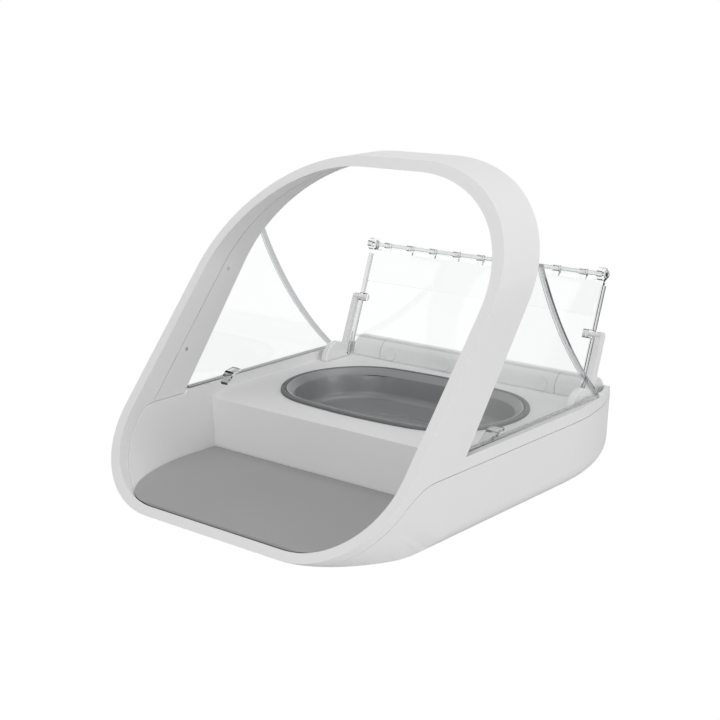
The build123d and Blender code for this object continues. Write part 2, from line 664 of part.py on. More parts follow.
with BuildPart() as deck_housing:
    add(plan_outline(0, 0, OVER))
    add(upper_block, mode=Mode.INTERSECT)
    add(below_groove, mode=Mode.SUBTRACT)
    add(plan_outline(WALL, UNDER, OVER) & upper_void, mode=Mode.SUBTRACT)
    add(wells, mode=Mode.SUBTRACT)
    add(walls & in_base & below_cheek_seam & slab(-FAR, FAR, FLOOR + SEAM / 2, OVER) & in_arch)
    # bowl opening with its ledge
    add(bowl_plan(-LEDGE_RING, LEDGE_Z - 2, DECK_Z - 1))
    add(bowl_plan(0, LEDGE_Z, DECK_Z + 1), mode=Mode.SUBTRACT)
    add(bowl_plan(LEDGE_WIDTH, LEDGE_Z - 4, LEDGE_Z + 1), mode=Mode.SUBTRACT)
    for side in (-1, 1):
        # hub slots and the bearings outside them
        slot_half = HUB_R + HUB_GAP
        x0, x1 = sorted((side * (HUB_IN - HUB_GAP), side * (HUB_OUT + HUB_GAP)))
        add(slab(HUB_Y - slot_half, HUB_Y + slot_half, CUT_Z - 2, DECK_Z + 1, x0, x1), mode=Mode.SUBTRACT)
        bearing_in, bearing_out = side * (HUB_OUT + HUB_GAP), side * (HALF - RIM_WIDTH + 0.4)
        b0, b1 = sorted((bearing_in, bearing_out))
        add(slab(HUB_Y - BEARING_R, HUB_Y + BEARING_R, HUB_Z - 7.5, HUB_Z, b0, b1))
        add(rod(BEARING_R, bearing_in, bearing_out, HUB_Y, HUB_Z))
        add(rod(AXLE_R + AXLE_GAP, side * HUB_OUT, side * (AXLE_END + 2), HUB_Y, HUB_Z), mode=Mode.SUBTRACT)
    # barrel slot, crank slots and the room for the link under the deck
    tube_x = BARREL_TUBE_END + SEAM
    tube_y0, tube_y1 = BARREL_Y - BARREL_R - SEAM, BARREL_Y + BARREL_R + SEAM
    add(slab(tube_y0, tube_y1, CUT_Z, DECK_Z + 1, -tube_x, tube_x), mode=Mode.SUBTRACT)
    slot_y0, slot_y1 = BARREL_Y - CRANK_SLOT, BARREL_Y + CRANK_SLOT
    add(slab(slot_y0, slot_y1, CUT_Z, DECK_Z + 1, BARREL_TUBE_END, CRANK_OUT + 0.5), mode=Mode.SUBTRACT)
    link_x0, link_x1 = LINK_IN - 0.3, LINK_OUT + 0.3
    add(slab(HUB_Y, BARREL_Y, CUT_Z, DECK_Z - LINK_RELIEF, link_x0, link_x1), mode=Mode.SUBTRACT)
    for x, y in POSTS:
        top = DECK_Z - 1.5 if y < APRON_Y else apron_z(y, BOSS_SINK)
        add(bolt(POST_R, x, y, POST_FOOT_Z + SEAM, top))
        add(bolt(SCREW_R + SEAM / 2, x, y, POST_FOOT_Z, top - 6), mode=Mode.SUBTRACT)
    # button and lens holes through the apron
    for x in BUTTON_X:
        hole = Cylinder(BUTTON_R + BUTTON_GAP, 10, mode=Mode.PRIVATE)
        add(on_apron(x, BUTTON_Y) * hole, mode=Mode.SUBTRACT)
    lens_hole = Cylinder(LENS_R + SEAM / 2, 10, mode=Mode.PRIVATE)
    add(on_apron(0, LENS_Y) * lens_hole, mode=Mode.SUBTRACT)
    # bosses that carry the control board
    boss = Cylinder(BOARD_BOSS_R, BOARD_TOP - BOSS_SINK, mode=Mode.PRIVATE)
    for x in (-BOARD_BOSS_X, BOARD_BOSS_X):
        for y in BOARD_BOSS_Y:
            add(on_apron(x, y, (BOSS_SINK + BOARD_TOP) / 2) * boss)
save(deck_housing.part, "deck_housing")

# ---------------------------------------------------------------- mat
with BuildPart() as mat:
    add(channel(ARCH_SIDE + MAT_CLEAR, ARCH_FOOT + MAT_CLEAR, CHEEK_DRAFT, FAR / 2))
    mat_y0, mat_y1 = FRONT_Y + MAT_FRONT, STEP_Y - MAT_CLEAR
    add(slab(mat_y0, mat_y1, MAT_BOTTOM, MAT_BOTTOM + MAT_THICK), mode=Mode.INTERSECT)
    inside = plan_outline(WALL + MAT_CLEAR, FLOOR, PARTING_Z, BASE_DRAFT, BASE_FILLET - WALL)
    add(inside, mode=Mode.INTERSECT)
save(mat.part, "mat")

# ---------------------------------------------------------------- bowl and its seal
BED_Z = LEDGE_Z + SEAM + SEAL_BED      # the bowl's flange rests here
with BuildPart() as bowl_seal:
    add(bowl_plan(0.2, LEDGE_Z + SEAM, DECK_Z + SEAL_PROUD))
    add(bowl_plan(SEAL_WIDTH, BED_Z, OVER), mode=Mode.SUBTRACT)
    add(bowl_plan(LEDGE_WIDTH - 0.6, LEDGE_Z, OVER), mode=Mode.SUBTRACT)
save(bowl_seal.part, "bowl_seal")

FUNNEL_Z = BOWL_TOP_Z - BOWL_FUNNEL_DEPTH
flange_inset = SEAL_WIDTH + 0.3
funnel_inset = flange_inset + BOWL_LIP
inner_inset = funnel_inset + BOWL_FUNNEL_DEPTH * tan(radians(BOWL_FUNNEL))
with BuildPart() as bowl:
    add(bowl_plan(flange_inset, BED_Z, BOWL_TOP_Z))
    add(bowl_plan(LEDGE_WIDTH + 0.4, BOWL_FLOOR_Z, BED_Z, BOWL_DRAFT, BOWL_ROUND + BOWL_WALL))
    add(bowl_plan(funnel_inset, FUNNEL_Z, BOWL_TOP_Z, BOWL_FUNNEL), mode=Mode.SUBTRACT)
    inside_z = BOWL_FLOOR_Z + BOWL_WALL
    add(bowl_plan(inner_inset, inside_z, FUNNEL_Z + 0.01, BOWL_DRAFT, BOWL_ROUND), mode=Mode.SUBTRACT)
    with BuildSketch(Plane(origin=(0, BOWL_MIDDLE, inside_z - 0.3))):
        Ellipse(*FLOOR_RING)
        Ellipse(FLOOR_RING[0] - FLOOR_RING_WIDTH, FLOOR_RING[1] - FLOOR_RING_WIDTH, mode=Mode.SUBTRACT)
    extrude(amount=FLOOR_RING_PROUD + 0.3)
save(bowl.part, "bowl")


# ---------------------------------------------------------------- barrel over the drive
def on_barrel(x, out):
    """A location on the barrel's front, Z pointing out of it, `out` from its axis."""
    return Location((x, BARREL_Y, BARREL_Z), (90 - CAP_TILT, 0, 0)) * Location((0, 0, out))


with BuildPart() as barrel_housing:
    add(rod(BARREL_R, -BARREL_SPLIT, BARREL_SPLIT, BARREL_Y, BARREL_Z))
    add(rod(BARREL_BORE_R, -BARREL_SPLIT - 1, BARREL_SPLIT + 1, BARREL_Y, BARREL_Z), mode=Mode.SUBTRACT)
    for x in CAP_X:
        recess = Cylinder(CAP_R + SEAM, 2 * CAP_THICK, mode=Mode.PRIVATE)
        add(on_barrel(x, BARREL_R) * recess, mode=Mode.SUBTRACT)
save(barrel_housing.part, "barrel_housing")

with BuildPart() as screw_caps:
    for x in CAP_X:
        add(on_barrel(x, BARREL_R - CAP_SINK) * Cylinder(CAP_R, CAP_THICK, mode=Mode.PRIVATE))
save(screw_caps.part, "screw_caps")

for label, side in (("barrel_sleeve_left", -1), ("barrel_sleeve_right", 1)):
    near, tube_end, far = side * (BARREL_SPLIT + SPLIT_GAP), side * BARREL_TUBE_END, side * BARREL_END
    cap_wall = side * (BARREL_END - BARREL_CAP_WALL)
    with BuildPart() as sleeve:
        add(rod(BARREL_R, near, far, BARREL_Y, BARREL_Z))
        fillet(sleeve.edges().filter_by_position(Axis.X, far - 0.01, far + 0.01), BARREL_ROUND)
        add(rod(BARREL_BORE_R, near, side * (BARREL_TUBE_END - 2), BARREL_Y, BARREL_Z), mode=Mode.SUBTRACT)
        add(rod(CRANK_COVER_R, tube_end, cap_wall, BARREL_Y, BARREL_Z), mode=Mode.SUBTRACT)
        x0, x1 = sorted((tube_end, far + side))
        add(slab(BARREL_Y - PAST, BARREL_Y + PAST, CUT_Z - 10, DECK_Z + SEAM, x0, x1), mode=Mode.SUBTRACT)
        add(rod(SHAFT_R + SHAFT_GAP, near, tube_end + side, BARREL_Y, BARREL_Z), mode=Mode.SUBTRACT)
    save(sleeve.part, label)

# ---------------------------------------------------------------- drive
gearbox_x = MOTOR_X0 + MOTOR_LENGTH
MOTOR_X1 = gearbox_x + GEARBOX_LENGTH
with BuildPart() as gear_motor:
    add(rod(MOTOR_R, MOTOR_X0, gearbox_x, BARREL_Y, BARREL_Z))
    add(rod(GEARBOX_R, gearbox_x, MOTOR_X1, BARREL_Y, BARREL_Z))
    add(rod(MOTOR_TAIL_R, MOTOR_X0 - MOTOR_TAIL, MOTOR_X0, BARREL_Y, BARREL_Z))
save(gear_motor.part, "gear_motor")

# both cranks point the same way; with the lid open they point forward and down
crank_turn = radians(-LID_CLOSING / 2)
crank_dy = CRANK_R * sin(crank_turn)
crank_dz = -CRANK_R * cos(crank_turn)
shaft_at = (BARREL_Y, BARREL_Z)
crank_pin = (BARREL_Y + crank_dy, BARREL_Z + crank_dz)
hub_at = (HUB_Y, HUB_Z)
hub_pin = (HUB_Y + crank_dy, HUB_Z + crank_dz)
with BuildPart() as drive_shaft:
    add(rod(SHAFT_R, MOTOR_X1 + SHAFT_GAP, CRANK_IN + 0.2, *shaft_at))
    add(strap(CRANK_IN, CRANK_OUT, shaft_at, crank_pin, CRANK_HUB_R, CRANK_TIP_R))
    add(rod(CRANK_PIN_R, LINK_IN - 0.2, CRANK_IN + 0.2, *crank_pin))
save(drive_shaft.part, "drive_shaft")

with BuildPart() as link_rod:
    add(strap(LINK_IN, LINK_OUT, crank_pin, hub_pin, LINK_R, LINK_R))
    add(rod(LINK_EYE_R, LINK_IN, LINK_OUT, *crank_pin))
    add(rod(LINK_EYE_R, LINK_IN, LINK_OUT, *hub_pin))
    for y, z in (crank_pin, hub_pin):
        add(rod(CRANK_PIN_R + CRANK_PIN_GAP, LINK_IN - 1, LINK_OUT + 1, y, z), mode=Mode.SUBTRACT)
save(link_rod.part, "link_rod")

# ---------------------------------------------------------------- lid: hubs and arms
lean = radians(LID_LEAN)
ALONG = (sin(lean), cos(lean))
BEHIND = (cos(lean), -sin(lean))


def lid_point(along, behind):
    """(y, z) of a point on the open lid, measured from the hub axis."""
    return (HUB_Y + ALONG[0] * along + BEHIND[0] * behind, HUB_Z + ALONG[1] * along + BEHIND[1] * behind)


ELBOW = lid_point(ARM_LENGTH, ARM_PERP)
KNOB = lid_point(ARM_LENGTH, ARM_PERP - KNOB_SET)
ROOT = lid_point(0.0, ARM_PERP)
for label, side in (("lid_arm_left", -1), ("lid_arm_right", 1)):
    x0, x1 = sorted((side * HUB_IN, side * HUB_OUT))
    with BuildPart() as arm:
        add(rod(HUB_R, x0, x1, *hub_at))
        fillet(arm.edges().filter_by(GeomType.CIRCLE), HUB_ROUND)
        add(strap(x0 + 0.4, x1 - 0.4, ROOT, ELBOW, ARM_ROOT_R, ARM_WIDTH / 2))
        add(rod(AXLE_R, side * (HUB_OUT - 0.3), side * AXLE_END, *hub_at))
        pin_in, pin_out = side * (HUB_IN - 1), side * (HUB_OUT - PIN_COVER)
        add(rod(PIN_R + PIN_GAP, pin_in, pin_out, *KNOB), mode=Mode.SUBTRACT)
        if side > 0:
            add(rod(CRANK_PIN_R, LINK_IN - 0.2, HUB_IN + 0.3, *hub_pin))
    save(arm.part, label)

KNOB_HEAD_R, KNOB_HEAD = PIN_R + 1.0, 2.1
PIN_IN = PANEL_HALF - 4.6
with BuildPart() as arm_pins:
    for side in (-1, 1):
        add(rod(PIN_R, side * PIN_IN, side * (HUB_OUT - PIN_COVER - PIN_GAP), *KNOB))
        add(rod(KNOB_HEAD_R, side * (PIN_IN + 0.3 - KNOB_HEAD), side * (PIN_IN + 0.3), *KNOB))
save(arm_pins.part, "arm_pins")

# ---------------------------------------------------------------- lid: clear panels
ROD_AT = lid_point(ROD_ALONG, ROD_PERP)
end_room = END_KNUCKLE_LENGTH + KNUCKLE_GAP       # a knuckle at each end, and the flap's beside it
KNUCKLE_PITCH = (PANEL_HALF - 2 * end_room - 2 * KNUCKLE_GAP - KNUCKLE_LENGTH / 2 - 3.2) / 4
REAR_KNUCKLES = tuple(KNUCKLE_PITCH * n for n in (-4, -3, -2, -1, 0, 1, 2, 3, 4))
FLAP_KNUCKLES = tuple(KNUCKLE_PITCH * n for n in (-3.5, -2.5, -1.5, -0.5, 0.5, 1.5, 2.5, 3.5))
FLAP_KNUCKLE_HALF = (KNUCKLE_PITCH - KNUCKLE_LENGTH) / 2 - KNUCKLE_GAP


def on_plane(origin, normal_yz, x0, x1, a0, a1, thick, corner=0.0):
    """A plate on a plane parallel to X; a runs square to the normal, the plate grows along it."""
    base = Plane(origin=(0, *origin), x_dir=(-1, 0, 0), z_dir=(0, *normal_yz))
    with BuildPart() as plate:
        with BuildSketch(base):
            with Locations(((x0 + x1) / 2, (a0 + a1) / 2)):
                if corner > 0:
                    RectangleRounded(x1 - x0, a1 - a0, corner)
                else:
                    Rectangle(x1 - x0, a1 - a0)
        extrude(amount=thick)
    return plate.part


panel_origin = lid_point(0, PANEL_PERP - PANEL_THICK / 2)
proud_origin = lid_point(0, PANEL_PERP + PANEL_THICK / 2 - 0.1)
tab_start = PANEL_END - 1
with BuildPart() as lid_rear_panel:
    across = (-PANEL_HALF, PANEL_HALF)
    add(on_plane(panel_origin, BEHIND, *across, PANEL_START, PANEL_END, PANEL_THICK, PANEL_CORNER))
    rib_x = PANEL_HALF - EDGE_WIDTH / 2
    rib_from, rib_to = RIB_AT - RIB_HALF, RIB_AT + RIB_HALF
    add(on_plane(proud_origin, BEHIND, -rib_x, rib_x, rib_from, rib_to, RIB_PROUD + 0.1))
    edge_from, edge_to = PANEL_START + PANEL_CORNER, PANEL_END - PANEL_CORNER
    for side in (-1, 1):
        e0, e1 = sorted((side * (PANEL_HALF - EDGE_WIDTH), side * PANEL_HALF))
        add(on_plane(proud_origin, BEHIND, e0, e1, edge_from, edge_to, EDGE_PROUD))
    for x in REAR_KNUCKLES:
        x0, x1 = x - KNUCKLE_LENGTH / 2, x + KNUCKLE_LENGTH / 2
        add(rod(KNUCKLE_R, x0, x1, *ROD_AT))
        add(on_plane(panel_origin, BEHIND, x0, x1, tab_start, ROD_ALONG, PANEL_THICK))
    for side in (-1, 1):
        e0, e1 = sorted((side * (PANEL_HALF - END_KNUCKLE_LENGTH), side * PANEL_HALF))
        add(rod(END_KNUCKLE_R, e0, e1, *ROD_AT))
        add(on_plane(panel_origin, BEHIND, e0, e1, tab_start - PANEL_CORNER, ROD_ALONG, PANEL_THICK))
        knob_in, knob_out = side * (PIN_IN - KNOB_HEAD), side * (PANEL_HALF + 1)
        add(rod(KNOB_HEAD_R + 0.2, knob_in, knob_out, *KNOB), mode=Mode.SUBTRACT)
    add(rod(ROD_R + SEAM / 4, -PANEL_HALF - 5, PANEL_HALF + 5, *ROD_AT), mode=Mode.SUBTRACT)
save(lid_rear_panel.part, "lid_rear_panel")

ROD_END = PANEL_HALF + 1.5
ROD_HEAD_R, ROD_HEAD = ROD_R + 1.2, 1.3
with BuildPart() as lid_hinge_rod:
    add(rod(ROD_R, -ROD_END, ROD_END, *ROD_AT))
    head_from = PANEL_HALF + ROD_GAP
    for side in (-1, 1):
        add(rod(ROD_HEAD_R, side * head_from, side * (head_from + ROD_HEAD), *ROD_AT))
save(lid_hinge_rod.part, "lid_hinge_rod")

flap_lean = radians(FLAP_LEAN)
FLAP_FRONT = (-cos(flap_lean), sin(flap_lean))
flap_offset = FLAP_OFFSET - PANEL_THICK / 2
flap_origin = (ROD_AT[0] + FLAP_FRONT[0] * flap_offset, ROD_AT[1] + FLAP_FRONT[1] * flap_offset)
flap_tab = FLAP_START + 1
with BuildPart() as lid_front_panel:
    across = (-PANEL_HALF, PANEL_HALF)
    add(on_plane(flap_origin, FLAP_FRONT, *across, FLAP_START, FLAP_LENGTH, PANEL_THICK, PANEL_CORNER))
    for x in FLAP_KNUCKLES:
        x0, x1 = x - FLAP_KNUCKLE_HALF, x + FLAP_KNUCKLE_HALF
        add(rod(KNUCKLE_R, x0, x1, *ROD_AT))
        add(on_plane(flap_origin, FLAP_FRONT, x0, x1, KNUCKLE_R / 2, flap_tab, PANEL_THICK))
    for side in (-1, 1):
        e_out = PANEL_HALF - end_room
        e0, e1 = sorted((side * (e_out - END_KNUCKLE_LENGTH), side * e_out))
        add(rod(END_KNUCKLE_R, e0, e1, *ROD_AT))
        add(on_plane(flap_origin, FLAP_FRONT, e0, e1, KNUCKLE_R, flap_tab, PANEL_THICK))
    add(rod(ROD_R + ROD_GAP, -PANEL_HALF - 5, PANEL_HALF + 5, *ROD_AT), mode=Mode.SUBTRACT)
save(lid_front_panel.part, "lid_front_panel")

# ---------------------------------------------------------------- clear side wings and clips
wing_low = (WING_FOOT_Y, RIM_Z)
wing_high = (rear_y(WING_TOP_Z) + WING_REACH, WING_TOP_Z)
wing_chord = hypot(wing_low[0] - wing_high[0], wing_high[1] - wing_low[1])
wing_mid = (
    (wing_low[0] + wing_high[0]) / 2 - WING_SAG * (wing_high[1] - wing_low[1]) / wing_chord,
    (wing_low[1] + wing_high[1]) / 2 - WING_SAG * (wing_low[0] - wing_high[0]) / wing_chord,
)


def wing_plate(drop, x0, x1):
    """A plate in a wing's outline, its curved rear edge drawn in by drop."""
    low = (wing_low[0] - drop * 1.2, wing_low[1])
    mid = (wing_mid[0] - drop * 0.8, wing_mid[1] - drop * 0.6)
    high = (wing_high[0] - drop, wing_high[1])
    foot = (rear_y(RIM_Z) + SEAM, RIM_Z)
    head = (rear_y(WING_TOP_Z) + SEAM, WING_TOP_Z)
    with BuildPart() as plate:
        with BuildSketch(Plane(origin=(x0, 0, 0), x_dir=(0, 1, 0), z_dir=(1, 0, 0))):
            with BuildLine():
                Line(foot, low)
                ThreePointArc(low, mid, high)
                Line(high, head)
                Line(head, foot)
            make_face()
        extrude(amount=x1 - x0)
    return plate.part


bead = wing_plate(0, WING_X - BEAD_PROUD, WING_X + WING_THICK + BEAD_PROUD)
bead = bead - wing_plate(WING_BEAD, WING_X - 5, WING_X + 5)
wing_foot = slab(
    rear_y(RIM_Z) + 2, WING_FOOT_Y - 4, RIM_Z, RIM_Z + WING_FOOT, WING_X - 1.6, WING_X + WING_THICK
)
for label, side in (("side_wing_left", -1), ("side_wing_right", 1)):
    with BuildPart() as wing:
        add(wing_plate(1, WING_X, WING_X + WING_THICK))
        add(bead)
        add(wing_foot)
        add(plan_outline(0.2, RIM_Z, HEIGHT), mode=Mode.INTERSECT)
    save(wing.part if side > 0 else mirror(wing.part, about=Plane.YZ), label)

clip_under = [(y, z - CLIP_DROP) for y, z in reversed(CLIP_LINE)]
clip_strip = side_prism([*CLIP_LINE, *clip_under])
with BuildPart() as wing_clips:
    for side in (-1, 1):
        x0, x1 = sorted((side * CLIP_IN, side * (WING_X - SEAM)))
        add(clip_strip & slab(-FAR, FAR, UNDER, HEIGHT, x0, x1))
        x0, x1 = sorted((side * (HALF - RIM_WIDTH - SEAM), side * WING_X))
        add(slab(-FAR, FAR, UNDER, RIM_Z + WING_FOOT + SEAM, x0, x1), mode=Mode.SUBTRACT)
save(wing_clips.part, "wing_clips")

# ---------------------------------------------------------------- rear buttons, lens and board
BUTTON_TALL, BUTTON_TOP = 4.8, 1.0                # length, and height over the apron
BUTTON_FLANGE, FLANGE_BEYOND = 1.0, 1.4
FLANGE_DEPTH = WALL + 0.4                         # the flange's upper face
STEM_R = 1.5
switch_top = BOARD_TOP - SWITCH_HEIGHT - SWITCH_STEM
stem_from = FLANGE_DEPTH + BUTTON_FLANGE
stem_to = switch_top - 0.8 - SEAM                 # room for the press
for label, x in zip(("button_left", "button_middle", "button_right"), BUTTON_X):
    with BuildPart() as button:
        body = Cylinder(BUTTON_R, BUTTON_TALL, mode=Mode.PRIVATE)
        add(on_apron(x, BUTTON_Y, BUTTON_TALL / 2 - BUTTON_TOP) * body)
        fillet(button.edges().filter_by(GeomType.CIRCLE).sort_by(Axis.Z)[-1], 0.8)
        add(on_apron(x, BUTTON_Y, FLANGE_DEPTH + BUTTON_FLANGE / 2)
            * Cylinder(BUTTON_R + FLANGE_BEYOND, BUTTON_FLANGE, mode=Mode.PRIVATE))
        stem = Cylinder(STEM_R, stem_to - stem_from, mode=Mode.PRIVATE)
        add(on_apron(x, BUTTON_Y, (stem_from + stem_to) / 2) * stem)
    save(button.part, label)

LENS_LENGTH, LENS_PROUD = 3.2, 0.2
with BuildPart() as status_lens:
    lens = Cylinder(LENS_R, LENS_LENGTH, mode=Mode.PRIVATE)
    add(on_apron(0, LENS_Y, LENS_LENGTH / 2 - LENS_PROUD) * lens)
save(status_lens.part, "status_lens")

with BuildPart() as control_board:
    add(on_apron(0, BOARD_Y, BOARD_TOP + BOARD_THICK / 2)
        * Box(BOARD_LENGTH, BOARD_WIDTH, BOARD_THICK, mode=Mode.PRIVATE))
save(control_board.part, "control_board")

SWITCH_SIDE = 6.0
STEM_PAD_R = 1.6
with BuildPart() as board_components:
    for x in BUTTON_X:
        add(on_apron(x, BUTTON_Y, BOARD_TOP - SWITCH_HEIGHT / 2)
            * Box(SWITCH_SIDE, SWITCH_SIDE, SWITCH_HEIGHT, mode=Mode.PRIVATE))
        add(on_apron(x, BUTTON_Y, BOARD_TOP - SWITCH_HEIGHT - SWITCH_STEM / 2)
            * Cylinder(STEM_PAD_R, SWITCH_STEM, mode=Mode.PRIVATE))
    for x, y, length, width, height in CHIPS:
        add(on_apron(x, y, BOARD_TOP - height / 2) * Box(length, width, height, mode=Mode.PRIVATE))
    add(on_apron(BUZZER_X, BUZZER_Y, BOARD_TOP - BUZZER_HEIGHT / 2)
        * Cylinder(BUZZER_R, BUZZER_HEIGHT, mode=Mode.PRIVATE))
save(board_components.part, "board_components")

# ---------------------------------------------------------------- power
with BuildPart() as battery_cells:
    for y in CELL_ROWS:
        for side in (-1, 1):
            add(rod(CELL_R - CELL_GAP, side * CELL_X0, side * CELL_X1, y, CELL_Z))
            add(rod(NUB_R, side * CELL_X0, side * (CELL_X0 - NUB_LENGTH), y, CELL_Z))
save(battery_cells.part, "battery_cells")

contact_in = RIB / 2 + 0.2
contact_out = CRADLE_X - RIB / 2 - 0.2
with BuildPart() as battery_contacts:
    for y in CELL_ROWS:
        for side in (-1, 1):
            x0, x1 = sorted((side * contact_in, side * (contact_in + CONTACT_THICK)))
            add(slab(y - CONTACT_HALF, y + CONTACT_HALF, CONTACT_Z0, CONTACT_Z1, x0, x1))
            x0, x1 = sorted((side * (contact_out - CONTACT_THICK), side * contact_out))
            add(slab(y - CONTACT_HALF, y + CONTACT_HALF, CONTACT_Z0, CONTACT_Z1, x0, x1))
            for turn, radius in enumerate(SPRING_R):
                at = side * (CELL_X1 + 0.7 + turn * SPRING_PITCH)
                add(Location((at, y, CELL_Z), (0, 90, 0)) * Torus(radius, SPRING_WIRE, mode=Mode.PRIVATE))
save(battery_contacts.part, "battery_contacts")

for label, side in (("battery_door_left", -1), ("battery_door_right", 1)):
    x0, x1 = sorted((side * (DOOR_X0 + SEAM), side * (DOOR_X1 - SEAM)))
    with BuildPart() as door:
        add(slab(DOOR_Y0 + SEAM, DOOR_Y1 - SEAM, 0, FLOOR, x0, x1))
        screw_x = side * SCREW_X
        add(bolt(SCREW_HEAD_R + HEAD_GAP, screw_x, MID_ROW_Y, UNDER, DOOR_SEAT_Z), mode=Mode.SUBTRACT)
        add(bolt(DOOR_SCREW_R + 0.3, screw_x, MID_ROW_Y, UNDER, FLOOR + 1), mode=Mode.SUBTRACT)
    save(door.part, label)

with BuildPart() as door_screws:
    for side in (-1, 1):
        at = (side * SCREW_X, MID_ROW_Y)
        add(bolt(DOOR_SCREW_R, *at, DOOR_SCREW_FOOT, DOOR_SCREW_TOP, SCREW_HEAD_R, DOOR_HEAD))
        add(cross_slot(*at, DOOR_SCREW_FOOT + 0.4), mode=Mode.SUBTRACT)
save(door_screws.part, "door_screws")

with BuildPart() as housing_screws:
    for x, y in POSTS:
        add(bolt(SCREW_R, x, y, SCREW_FOOT_Z, SCREW_FOOT_Z + SCREW_LENGTH, SCREW_HEAD_R, SCREW_HEAD))
        add(cross_slot(x, y, SCREW_FOOT_Z + 0.6), mode=Mode.SUBTRACT)
save(housing_screws.part, "housing_screws")
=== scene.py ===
"""Looks for the microchip pet feeder: white moulded shells, grey mat and bowl, clear lid and wings.

Lengths are metres unless a name or comment says millimetres.  X to the right, Y to the back, Z up.
"""

import json
import math

import bmesh
import bpy
from mathutils import Matrix, Vector


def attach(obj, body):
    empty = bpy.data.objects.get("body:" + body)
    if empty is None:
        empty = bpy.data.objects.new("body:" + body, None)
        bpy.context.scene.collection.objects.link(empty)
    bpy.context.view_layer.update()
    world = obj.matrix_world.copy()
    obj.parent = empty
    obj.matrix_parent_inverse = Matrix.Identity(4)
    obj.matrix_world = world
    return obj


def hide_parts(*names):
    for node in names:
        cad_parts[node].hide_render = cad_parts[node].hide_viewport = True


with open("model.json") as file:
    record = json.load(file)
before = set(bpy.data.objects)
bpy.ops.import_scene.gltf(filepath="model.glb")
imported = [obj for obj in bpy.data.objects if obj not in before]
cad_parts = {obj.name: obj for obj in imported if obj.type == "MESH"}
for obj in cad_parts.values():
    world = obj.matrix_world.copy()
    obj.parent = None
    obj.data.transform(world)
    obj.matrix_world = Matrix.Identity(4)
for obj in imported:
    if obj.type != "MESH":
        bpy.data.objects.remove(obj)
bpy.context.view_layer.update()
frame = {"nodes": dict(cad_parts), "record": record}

MM = 0.001
GRAIN_DEPTH = 0.05 * MM   # height of the moulded grain
BRUSH_DEPTH = 0.03 * MM
FLOW_DEPTH = 0.3 * MM     # height of the flow marks in clear plastic
GLOSS_SPREAD = 0.05       # how far roughness wanders over a moulded piece
EDGE_SHADE_FROM = 0.5           # painted edge shade on clear plastic starts past this facing value
BRUSH_SCALE = (40.0, 900.0, 900.0)


# ---------------------------------------------------------------- node helpers
def new_material(name):
    """An empty node material and its node tree."""
    material = bpy.data.materials.new(name)
    material.use_nodes = True
    tree = material.node_tree
    tree.nodes.clear()
    return material, tree


def node(tree, kind, **settings):
    """Adds a node; settings name its properties, or its inputs by label."""
    made = tree.nodes.new(kind)
    for key, value in settings.items():
        if hasattr(made, key):
            setattr(made, key, value)
        else:
            made.inputs[key.replace("_", " ")].default_value = value
    return made


def moulded(name, colour, roughness=0.35, grain=0.12, grain_scale=900.0, mottle=0.012, coat=0.0):
    """Moulded plastic or rubber: a fine spark-eroded grain, and a faint mottle in colour and gloss."""
    material, tree = new_material(name)
    link = tree.links.new
    where = node(tree, "ShaderNodeTexCoord")
    broad = node(tree, "ShaderNodeTexNoise", Scale=14.0, Detail=3.0, Roughness=0.55)
    fine = node(tree, "ShaderNodeTexNoise", Scale=grain_scale, Detail=2.0, Roughness=0.6)
    link(where.outputs["Object"], broad.inputs["Vector"])
    link(where.outputs["Object"], fine.inputs["Vector"])
    tint = node(tree, "ShaderNodeMix", data_type="RGBA")
    tint.inputs["A"].default_value = tuple(max(0.0, c - mottle) for c in colour) + (1.0,)
    tint.inputs["B"].default_value = tuple(min(1.0, c + mottle) for c in colour) + (1.0,)
    link(broad.outputs["Fac"], tint.inputs["Factor"])
    gloss = node(tree, "ShaderNodeMapRange")
    gloss.inputs["To Min"].default_value = roughness - GLOSS_SPREAD
    gloss.inputs["To Max"].default_value = roughness + GLOSS_SPREAD
    link(broad.outputs["Fac"], gloss.inputs["Value"])
    bump = node(tree, "ShaderNodeBump", Strength=grain, Distance=GRAIN_DEPTH)
    link(fine.outputs["Fac"], bump.inputs["Height"])
    shader = node(tree, "ShaderNodeBsdfPrincipled")
    shader.inputs["Coat Weight"].default_value = coat
    link(tint.outputs["Result"], shader.inputs["Base Color"])
    link(gloss.outputs["Result"], shader.inputs["Roughness"])
    link(bump.outputs["Normal"], shader.inputs["Normal"])
    out = node(tree, "ShaderNodeOutputMaterial")
    link(shader.outputs["BSDF"], out.inputs["Surface"])
    return material


